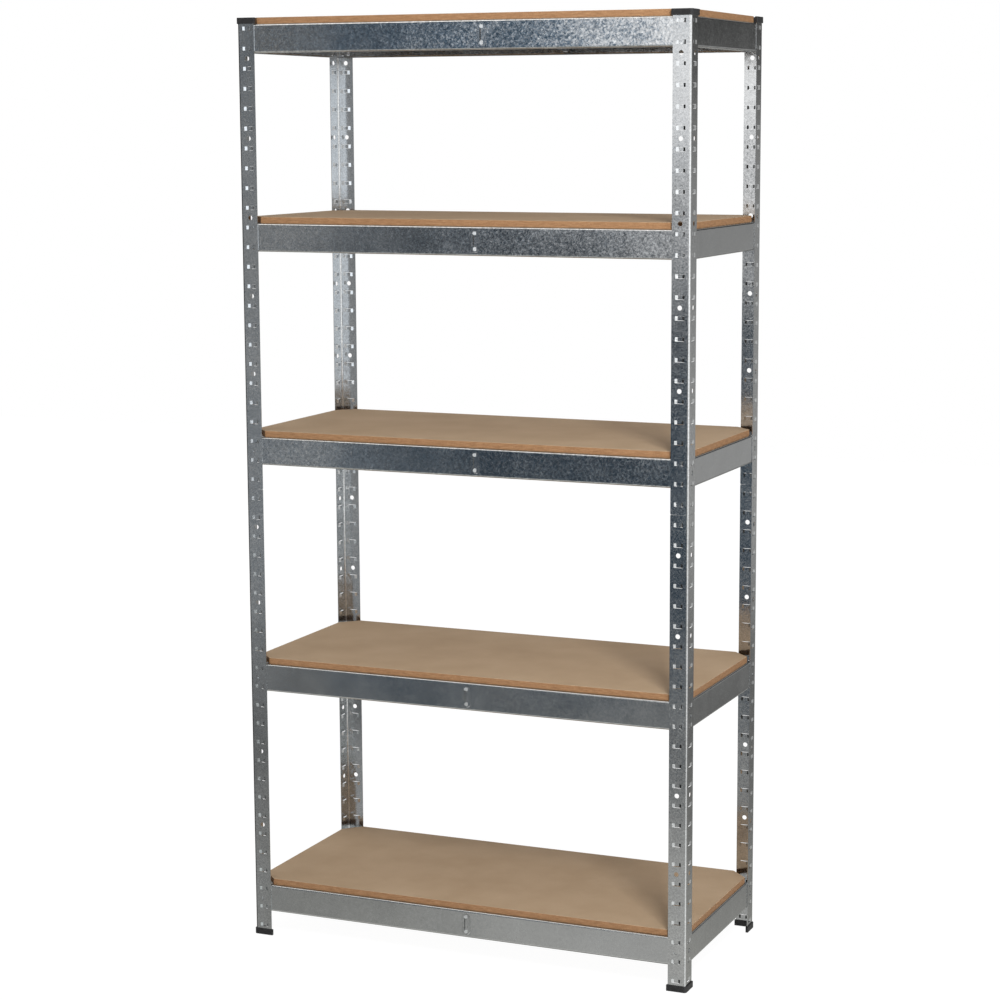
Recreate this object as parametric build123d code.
from build123d import *
import os

# Boltless steel shelving, five levels, nominal 900 x 400 x 1800 mm.
# Frame: +Z up, +X to the right along the front, +Y to the back.
# Origin: on the floor, in the middle of the footprint.
# All dimensions in millimetres.

CUT = 1.0              # how far cutters run past the surface they cut
NEAR = 0.01            # tolerance when picking edges by position

# ---------------------------------------------------------------- overall
FRAME_W = 910.0        # outside of the posts, along X
FRAME_D = 410.0        # outside of the posts, along Y
FOOT_WEB = 1.5         # plastic under each post

# ---------------------------------------------------------------- posts
SHEET = 1.0            # post sheet thickness
POST_LEG = 35.0        # outside width of each flange
POST_BEND = 3.5        # outside bend radius
POST_TIP_R = 1.5       # rounding of the free flange corners
POST_PITCH = 900.0     # module of one post half
POST_SEAM = 0.4        # gap left between the two halves
ROW_PITCH = 37.5       # vertical pitch of the lanced bridges
ROWS = round(POST_PITCH / ROW_PITCH)
GAUGE = 19.25          # row centre line, measured from the outside corner
LANCE_W = 17.5         # length of a bridge, across the flange
LANCE_FLAT = 8.8       # flat middle of the bridge, between its two ramps
LANCE_H = 7.8          # opening sheared along the post
STRAP_H = 7.1          # height of the bridge itself
STRAP_RISE = 2.4       # how far the bridge stands in from the outer face
STRAP_ROOT = 0.8       # bridge runs this far into the flange at each end
RAMP_SHIFT = 0.45      # inner side of each ramp, outwards from its outer side
ROUND_D = 9.0          # round holes
ROUND_PITCH = 4 * ROW_PITCH
ROUNDS = round(POST_PITCH / ROUND_PITCH)

# ---------------------------------------------------------------- levels
BEAM_ROWS = (2, 14, 26, 37, 47)         # beam middles above the post ends, in row pitches
TIE_X = (7.0, 11.0, 32.0, 35.0, 51.0)   # tie-bar slot centre per level

# ---------------------------------------------------------------- beams
BEAM_H = 54.0
BEAM_T = 1.0
BEAM_GAP = 0.1         # beam web to post flange
BEAM_TOP = 19.0        # top flange, inwards
BEAM_BOT = 13.0        # bottom flange, inwards
BEAM_R = 3.5           # outside bend radius
WEB_INSET = 4.0        # web ends, in from the outside of the frame
FLANGE_INSET = 33.0    # flange ends, in from the outside of the frame
FACE_X = FRAME_W / 2 - SHEET - BEAM_GAP   # outer face of the side beam webs
FACE_Y = FRAME_D / 2 - SHEET - BEAM_GAP   # outer face of the long beam webs

# ---------------------------------------------------------------- hooking windows
WINDOW_W = 20.4        # openings that drop over the bridges
WINDOW_R = 1.0
WINDOW_UP = 4.5        # window edge above the bridge centre
WINDOW_DOWN = 13.0     # window edge below it, room to lift the beam off
TONGUE_W = 8.6         # tongue that hangs in the window and slides behind the bridge
TONGUE_L = 8.5
TONGUE_R = 1.5

# ---------------------------------------------------------------- tie bar
TIE_SLOT_W = 17.5      # obround slot in the beam web
TIE_SLOT_H = 42.0
TIE_PLAY = 0.3         # gap around the end tab, all round
TIE_W = 22.0           # channel width
TIE_T = 1.0
TIE_R = 1.8            # rounding of the top long edges
TIE_Y = 183.5          # channel top ends at +-Y, clear of the beam flange
TIE_LOW = -17.0        # lower edge of sides and closing plates
TIE_HIGH = 20.0        # upper edge of the closing plates
TIE_LAP = 2.0          # side extensions start this far back inside the channel
TIE_BACK = 7.0         # closing plate stands this far behind the beam web
TAB_INSET = 0.1        # tab face behind the beam face
TIE_SLIT = (-4.3, -2.2, -11.0, 11.5)   # open slit in the end tab: x0, x1, z0, z1
NOSE_TILT = 24.0       # faces of the hooked noses, turned from the web face
NOSE_X = -0.4
NOSE_INSET = 0.25      # nose centre behind the beam face
NOSE_HALF = 1.3        # half the nose thickness
# z, width, height; the lower one is a hair taller than wide to keep a straight part
NOSES = ((14.8, 8.8, 6.4), (-14.4, 7.8, 7.8001))

# ---------------------------------------------------------------- boards
BOARD_T = 12.0
BOARD_X = 450.5        # edges at +-X
BOARD_Y = 198.0        # edges at +-Y
BOARD_CLIP = 34.0      # corner cut at 45 degrees
BOARD_EASE = 0.4
BOARD_SEAT = 0.1       # play between board and beam flange

# ---------------------------------------------------------------- plastic caps
CAP_OUT = 2.3          # outside of the cap beyond the post face
CAP_GAP = 0.1
CAP_END_GAP = 0.3      # pocket beyond the flange tips
CAP_LEG = 40.0         # outside length of each leg
CAP_H = 11.5
CAP_IN = 2.0           # inner wall thickness
CAP_TIP_R = 1.2
CAP_EASE = 0.5         # chamfer around the outer face of the web

# ---------------------------------------------------------------- joiners
JOINER_H = 68.0
JOINER_TIP = 24.0      # legs end here, from the outside corner of the post
JOINER_T = 1.0
JOINER_GAP = 0.1       # joiner to post flange

# The four post corners, as quarter turns of the front left one: x, y, turn
CORNERS = {
    "front_left": (-FRAME_W / 2, -FRAME_D / 2, 0),
    "front_right": (FRAME_W / 2, -FRAME_D / 2, 90),
    "rear_right": (FRAME_W / 2, FRAME_D / 2, 180),
    "rear_left": (-FRAME_W / 2, FRAME_D / 2, 270),
}


# ---------------------------------------------------------------- helpers
def near(value, target):
    return abs(value - target) < NEAR


def box(x0, x1, y0, y1, z0, z1):
    """Axis-aligned solid between two opposite corners, given in either order."""
    solid = Box(abs(x1 - x0), abs(y1 - y0), abs(z1 - z0))
    return Pos((x0 + x1) / 2, (y0 + y1) / 2, (z0 + z1) / 2) * solid


def prism_z(points, z0, z1):
    """Closed outline in plan, raised from z0 to z1."""
    face = make_face(Polyline(*[(x, y, z0) for x, y in points], close=True))
    return extrude(face, z1 - z0, dir=(0, 0, 1))


def prism_x(points, x0, x1):
    """Closed outline of (y, z) points, run from x0 to x1."""
    face = make_face(Polyline(*[(x0, y, z) for y, z in points], close=True))
    return extrude(face, x1 - x0, dir=(1, 0, 0))


def angle_z(outside, inside, tip, z0, z1):
    """Upright angle: outside and inside corners on x = y, both legs ending at tip."""
    return prism_z([(outside, outside), (tip, outside), (tip, inside),
                    (inside, inside), (inside, tip), (outside, tip)], z0, z1)


def round_corner(shape, place, radius):
    """Fillet the upright edge at x = y = place."""
    edges = [e for e in shape.edges().filter_by(Axis.Z)
             if near(e.center().X, place) and near(e.center().Y, place)]
    return fillet(edges, radius)


def obround_y(x, z, wide, tall, y0, y1):
    """Obround of the given width (X) and height (Z), run between y0 and y1."""
    if tall >= wide:
        radius, half = wide / 2, (tall - wide) / 2
        ends = [(x, z - half), (x, z + half)]
        body = box(x - radius, x + radius, y0, y1, z - half, z + half)
    else:
        radius, half = tall / 2, (wide - tall) / 2
        ends = [(x - half, z), (x + half, z)]
        body = box(x - half, x + half, y0, y1, z - radius, z + radius)
    disc = Rot(90, 0, 0) * Cylinder(radius, abs(y1 - y0))
    return body + [Pos(end_x, (y0 + y1) / 2, end_z) * disc for end_x, end_z in ends]


def mirror_leg(shape):
    """Swap X and Y: carries a feature from one flange to the other."""
    return mirror(shape, about=Plane(origin=(0, 0, 0), x_dir=(0, 0, 1), z_dir=(1, -1, 0)))


def at_corner(shape, corner, z):
    x, y, turn = CORNERS[corner]
    return Pos(x, y, z) * Rot(0, 0, turn) * shape


def write(node, shape):
    shape.label = node
    export_step(shape, f"parts/{node}.step")


# ---------------------------------------------------------------- post half
def make_bridge():
    """Strap on the X flange: sheared free above and below, a ramp at each end."""
    end, flat = LANCE_W / 2, LANCE_FLAT / 2
    right = [(end + STRAP_ROOT, 0), (end + STRAP_ROOT, SHEET),
             (end + RAMP_SHIFT, SHEET), (flat + RAMP_SHIFT, STRAP_RISE + SHEET)]
    left = [(-x, y) for x, y in reversed(right)]
    outer = [(-end, 0), (-flat, STRAP_RISE), (flat, STRAP_RISE), (end, 0)]
    plan = [(GAUGE + x, y) for x, y in right + left + outer]
    return prism_z(plan, -STRAP_H / 2, STRAP_H / 2)


def make_post():
    """Post half with its outside corner on x = y = 0 and its lower end on z = 0."""
    length = POST_PITCH - POST_SEAM
    blank = angle_z(0, SHEET, POST_LEG, 0, length)
    blank = round_corner(blank, SHEET, POST_BEND - SHEET)
    blank = round_corner(blank, 0, POST_BEND)
    # free corners of the flanges: short edges through the sheet at both ends
    tips = [e for e in blank.edges()
            if (near(e.center().X, POST_LEG) or near(e.center().Y, POST_LEG))
            and (e.center().Z < NEAR or e.center().Z > length - NEAR)
            and e.length < SHEET + NEAR]
    blank = fillet(tips, POST_TIP_R)

    lance = box(GAUGE - LANCE_W / 2, GAUGE + LANCE_W / 2, -CUT, SHEET + CUT,
                -LANCE_H / 2, LANCE_H / 2)
    lances = (lance, mirror_leg(lance))
    bridge = make_bridge()
    bridges = (bridge, mirror_leg(bridge))
    cuts, straps = [], []
    for row in range(ROWS):
        up = Pos(0, 0, (row + 0.5) * ROW_PITCH)
        cuts += [up * cutter for cutter in lances]
        straps += [up * strap for strap in bridges]
    drill = Cylinder(ROUND_D / 2, SHEET + 3 * CUT)
    for hole in range(ROUNDS):
        z = (hole + 0.5) * ROUND_PITCH
        cuts += [Pos(GAUGE, SHEET / 2, z) * Rot(90, 0, 0) * drill,
                 Pos(SHEET / 2, GAUGE, z) * Rot(0, 90, 0) * drill]
    return blank - cuts + straps


# ---------------------------------------------------------------- hooking windows
def hook_window(y0, y1):
    """Cutter for sheet from y0 to y1, around a bridge centred on x = 0, z = 0.

    It leaves the hooking tongue hanging from the upper edge.
    """
    hole = box(-WINDOW_W / 2, WINDOW_W / 2, y0 - CUT, y1 + CUT, -WINDOW_DOWN, WINDOW_UP)
    hole = fillet(hole.edges().filter_by(Axis.Y), WINDOW_R)
    tongue = box(-TONGUE_W / 2, TONGUE_W / 2, y0 - 2 * CUT, y1 + 2 * CUT,
                 WINDOW_UP - TONGUE_L, WINDOW_UP + CUT)
    low = [e for e in tongue.edges().filter_by(Axis.Y) if e.center().Z < 0]
    return hole - fillet(low, TONGUE_R)


# ---------------------------------------------------------------- beams
def round_bends(body, y, z, radius):
    """Fillet the long edges at the given y, above and below at +-z."""
    edges = [e for e in body.edges().filter_by(Axis.X)
             if near(e.center().Y, y) and near(abs(e.center().Z), z)]
    return fillet(edges, radius)


def make_beam(frame_size, tie_x=None):
    """Beam along X for a frame side, web face on y = 0 and flanges towards +Y."""
    half_h = BEAM_H / 2
    web_end = frame_size / 2 - WEB_INSET
    flange_end = frame_size / 2 - FLANGE_INSET
    strap_x = frame_size / 2 - GAUGE
    section = [(0, -half_h), (BEAM_BOT, -half_h), (BEAM_BOT, -half_h + BEAM_T),
               (BEAM_T, -half_h + BEAM_T), (BEAM_T, half_h - BEAM_T),
               (BEAM_TOP, half_h - BEAM_T), (BEAM_TOP, half_h), (0, half_h)]
    body = prism_x(section, -web_end, web_end)
    body = round_bends(body, BEAM_T, half_h - BEAM_T, BEAM_R - BEAM_T)
    body = round_bends(body, 0, half_h, BEAM_R)

    cuts = []
    window = hook_window(0, BEAM_T)
    for side in (-1, 1):
        # flanges stop short of the corner so that neighbouring beams pass
        x0, x1 = side * flange_end, side * (web_end + CUT)
        cuts.append(box(x0, x1, BEAM_T, BEAM_TOP + CUT, -half_h - CUT, half_h + CUT))
        for level in (-1, 1):
            # web corners taken back with the bend
            cuts.append(box(x0, x1, -CUT, BEAM_T + CUT,
                            level * (half_h - BEAM_R), level * (half_h + CUT)))
            cuts.append(Pos(side * strap_x, 0, level * ROW_PITCH / 2) * window)
    if tie_x is not None:
        cuts.append(obround_y(tie_x, 0, TIE_SLOT_W, TIE_SLOT_H, -CUT, BEAM_T + CUT))
    return body - cuts


# ---------------------------------------------------------------- tie bar
def make_end_tab(end):
    """Slit obround tab in the beam slot, at the front (end = -1) or rear (end = 1)."""
    front = FACE_Y - TAB_INSET
    back = front - TIE_T
    tab = obround_y(0, 0, TIE_SLOT_W - 2 * TIE_PLAY, TIE_SLOT_H - 2 * TIE_PLAY,
                    end * back, end * front)
    x0, x1, z0, z1 = TIE_SLIT
    return tab - box(x0, x1, end * (back - CUT), end * (front + CUT), z0, z1)


def make_tie_bar():
    """Channel across the shelf, centred on x = 0, with a hooked tab at each end."""
    top = BEAM_H / 2
    half = TIE_W / 2
    tab_edge = TIE_SLOT_W / 2 - TIE_PLAY
    sides = ((-half, -half + TIE_T), (half - TIE_T, half))
    bar = box(-half, half, -TIE_Y, TIE_Y, top - TIE_T, top)
    for x0, x1 in sides:
        bar += box(x0, x1, -TIE_Y, TIE_Y, TIE_LOW, top)
    bar = fillet([e for e in bar.edges().filter_by(Axis.Y) if near(e.center().Z, top)], TIE_R)

    for end in (-1, 1):
        back = end * (FACE_Y - BEAM_T - TIE_BACK)
        plate_inner = back - end * TIE_T
        # the channel sides run on to a plate that closes the end behind the slot
        for x0, x1 in sides:
            bar += box(x0, x1, end * (TIE_Y - TIE_LAP), back, TIE_LOW, TIE_HIGH)
        bar += box(-half, half, plate_inner, back, TIE_LOW, TIE_HIGH)
        # strip from the plate out into the slot, carrying the tab
        bar += box(tab_edge - TIE_T, tab_edge, plate_inner, end * (FACE_Y - TAB_INSET),
                   -TIE_SLOT_H / 4, TIE_SLOT_H / 4)
        # two hooked noses stand proud of the beam face, one high and one low
        noses = [Pos(NOSE_X, end * (FACE_Y - NOSE_INSET), z) * Rot(0, 0, -end * NOSE_TILT)
                 * obround_y(0, 0, wide, tall, -NOSE_HALF, NOSE_HALF)
                 for z, wide, tall in NOSES]
        bar = bar + make_end_tab(end) + noses[0] + noses[1]
    return bar


# ---------------------------------------------------------------- boards
def make_board():
    """Board with clipped corners and eased rims, underside on z = 0."""
    x, y, clip = BOARD_X, BOARD_Y, BOARD_CLIP
    outline = [(-x + clip, -y), (x - clip, -y), (x, -y + clip), (x, y - clip),
               (x - clip, y), (-x + clip, y), (-x, y - clip), (-x, -y + clip)]
    board = prism_z(outline, 0, BOARD_T)
    rims = [e for e in board.edges()
            if e.center().Z < NEAR or e.center().Z > BOARD_T - NEAR]
    return chamfer(rims, BOARD_EASE)


# ---------------------------------------------------------------- plastic caps
def make_cap():
    """Foot: web underneath (z 0 to FOOT_WEB), skirt rising around the post end."""
    tip = CAP_LEG - CAP_OUT
    shell = angle_z(-CAP_OUT, SHEET + CAP_GAP + CAP_IN, tip, 0, CAP_H)
    shell = round_corner(shell, -CAP_OUT, POST_BEND + CAP_OUT)
    tips = [e for e in shell.edges().filter_by(Axis.Z)
            if near(e.center().X, tip) or near(e.center().Y, tip)]
    shell = fillet(tips, CAP_TIP_R)
    base = [e for e in shell.edges() if e.center().Z < NEAR]
    shell = chamfer(base, CAP_EASE)

    pocket_in = SHEET + CAP_GAP
    pocket = angle_z(-CAP_GAP, pocket_in, POST_LEG + CAP_END_GAP, FOOT_WEB, CAP_H + CUT)
    pocket = round_corner(pocket, -CAP_GAP, POST_BEND + CAP_GAP)
    pocket = round_corner(pocket, pocket_in, POST_BEND - pocket_in)
    return shell - pocket


# ---------------------------------------------------------------- joiner
def make_joiner():
    """Angle plate inside the post seam, centred on z = 0, hooked on the rows beside it."""
    outer = SHEET + JOINER_GAP
    inner = outer + JOINER_T
    plate = angle_z(outer, inner, JOINER_TIP, -JOINER_H / 2, JOINER_H / 2)
    plate = round_corner(plate, outer, POST_BEND - outer)
    plate = round_corner(plate, inner, POST_BEND - inner)
    # tongues point down into the lower post and up into the upper one
    down = Pos(GAUGE, 0, -ROW_PITCH / 2) * hook_window(outer, inner)
    up = mirror(down, about=Plane.XY)
    return plate - [down, up, mirror_leg(down), mirror_leg(up)]


# ---------------------------------------------------------------- write the parts
def write_corners():
    seam_z = FOOT_WEB + POST_PITCH
    top_z = seam_z + POST_PITCH + FOOT_WEB
    post = make_post()
    joiner = make_joiner()
    cap = make_cap()
    # the top cap is the same moulding turned over
    top_cap = mirror(cap, about=Plane.XY)
    placed = (("post_lower", post, FOOT_WEB), ("post_upper", post, seam_z),
              ("post_joiner", joiner, seam_z), ("foot", cap, 0), ("top_cap", top_cap, top_z))
    for corner in CORNERS:
        for name, shape, z in placed:
            write(f"{name}_{corner}", at_corner(shape, corner, z))


def write_levels():
    side_beam = make_beam(FRAME_D)
    tie_bar = make_tie_bar()
    board = make_board()
    for level, (row, tie_x) in enumerate(zip(BEAM_ROWS, TIE_X), start=1):
        z = FOOT_WEB + row * ROW_PITCH
        front = make_beam(FRAME_W, tie_x)
        rear = make_beam(FRAME_W, -tie_x)   # turned round below, so its slot is mirrored
        write(f"beam_front_{level}", Pos(0, -FACE_Y, z) * front)
        write(f"beam_rear_{level}", Pos(0, FACE_Y, z) * Rot(0, 0, 180) * rear)
        write(f"beam_left_{level}", Pos(-FACE_X, 0, z) * Rot(0, 0, -90) * side_beam)
        write(f"beam_right_{level}", Pos(FACE_X, 0, z) * Rot(0, 0, 90) * side_beam)
        write(f"tie_bar_{level}", Pos(tie_x, 0, z) * tie_bar)
        write(f"board_{level}", Pos(0, 0, z + BEAM_H / 2 + BOARD_SEAT) * board)


os.makedirs("parts", exist_ok=True)
write_corners()
write_levels()
